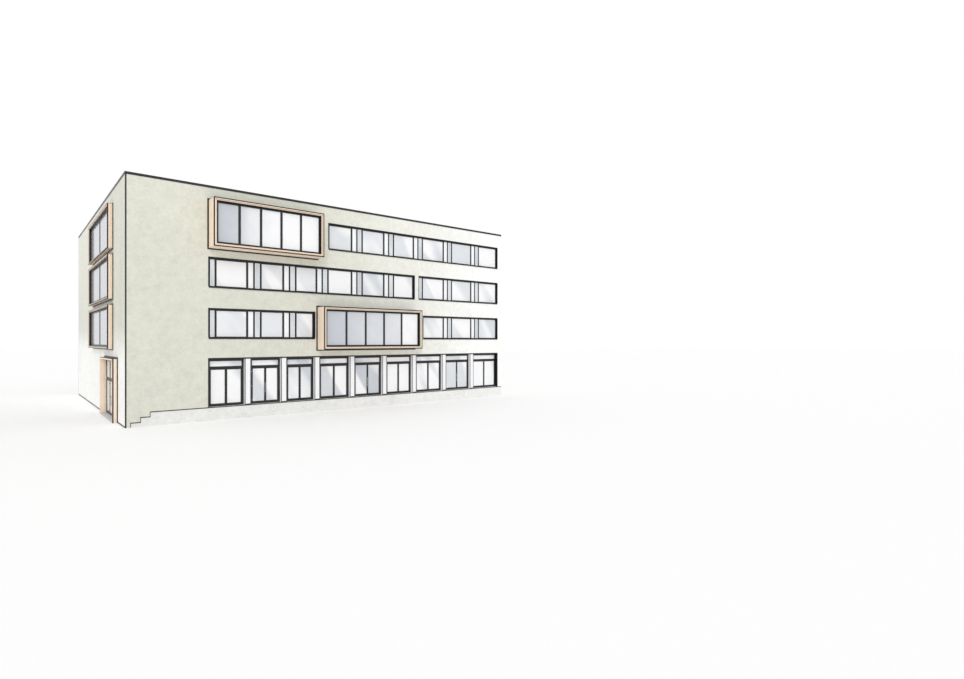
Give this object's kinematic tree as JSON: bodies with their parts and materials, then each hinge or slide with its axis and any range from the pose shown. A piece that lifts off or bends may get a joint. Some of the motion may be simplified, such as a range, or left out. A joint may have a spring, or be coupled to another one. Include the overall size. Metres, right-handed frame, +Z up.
{
  "type": "school building wing",
  "caption": "Flat-roofed school wing in pale plaster with ribbon windows, projecting timber box windows, a glazed yard storey and a timber entrance portal.",
  "frame": {"origin": "centre of the outer wall rectangle, on the underside of the walls at the level of the lowest ground beside the gable", "axes": "+X along the yard front from the gable to the party wall, +Y from the yard front to the back, +Z up"},
  "size_m": [31.35, 29.24, 15.605],
  "materials": {
    "plaster": "matte",
    "concrete": "matte",
    "gravel": "matte",
    "coping": "satin",
    "timber": "matte",
    "window_frame": "satin",
    "vent_panel": "matte",
    "post": "matte",
    "metal": "satin",
    "glass": null
  },
  "bodies": {
    "building": {"base_slab": "concrete", "raised_floor": "concrete", "upper_floors": "concrete", "roof_slab": "concrete", "roof_gravel": "gravel", "parapet_coping": "coping", "front_wall_ground": "plaster", "front_wall_first": "plaster", "front_wall_second": "plaster", "front_wall_third_near": "plaster", "front_wall_third_far": "plaster", "gable_wall_ground": "plaster", "gable_wall_upper": "plaster", "back_wall_ground": "plaster", "back_wall_upper": "plaster", "party_wall": "plaster", "window_sills": "coping", "ribbon_frames": "window_frame", "ribbon_vents": "vent_panel", "ribbon_glass": "glass", "box_first": "timber", "box_third": "timber", "gable_boxes": "timber", "box_frames": "window_frame", "gable_box_frames": "window_frame", "box_glass": "glass", "yard_posts": "post", "yard_window_frames": "window_frame", "yard_window_glass": "glass", "yard_door_frames": "window_frame", "yard_door_glass": "glass", "portal": "timber", "portal_frame": "window_frame", "portal_glass": "glass", "hinge_halves": "metal"},
    "entrance_near": {"entrance_leaf_near": "window_frame", "entrance_glass_near": "glass"},
    "entrance_far": {"entrance_leaf_far": "window_frame", "entrance_glass_far": "glass"},
    "yard_door_a": {"yard_leaf_a": "window_frame", "yard_leaf_glass_a": "glass"},
    "yard_door_b": {"yard_leaf_b": "window_frame", "yard_leaf_glass_b": "glass"},
    "yard_door_c": {"yard_leaf_c": "window_frame", "yard_leaf_glass_c": "glass"}
  },
  "joints": [
    {"name": "entrance_near_hinge", "type": "hinge", "parent": "building", "child": "entrance_near", "pos_m": [-15.438, -9.114, 0.152], "axis": [0, 0, 1], "range_deg": [0, 90]},
    {"name": "entrance_far_hinge", "type": "hinge", "parent": "building", "child": "entrance_far", "pos_m": [-15.438, -6.886, 0.152], "axis": [0, 0, -1], "range_deg": [0, 90]},
    {"name": "yard_door_a_hinge", "type": "hinge", "parent": "building", "child": "yard_door_a", "pos_m": [-7.944, -13.758, 0.952], "axis": [0, 0, -1], "range_deg": [0, 90]},
    {"name": "yard_door_b_hinge", "type": "hinge", "parent": "building", "child": "yard_door_b", "pos_m": [-0.004, -13.758, 0.952], "axis": [0, 0, -1], "range_deg": [0, 90]},
    {"name": "yard_door_c_hinge", "type": "hinge", "parent": "building", "child": "yard_door_c", "pos_m": [8.976, -13.758, 0.952], "axis": [0, 0, -1], "range_deg": [0, 90]}
  ]
}
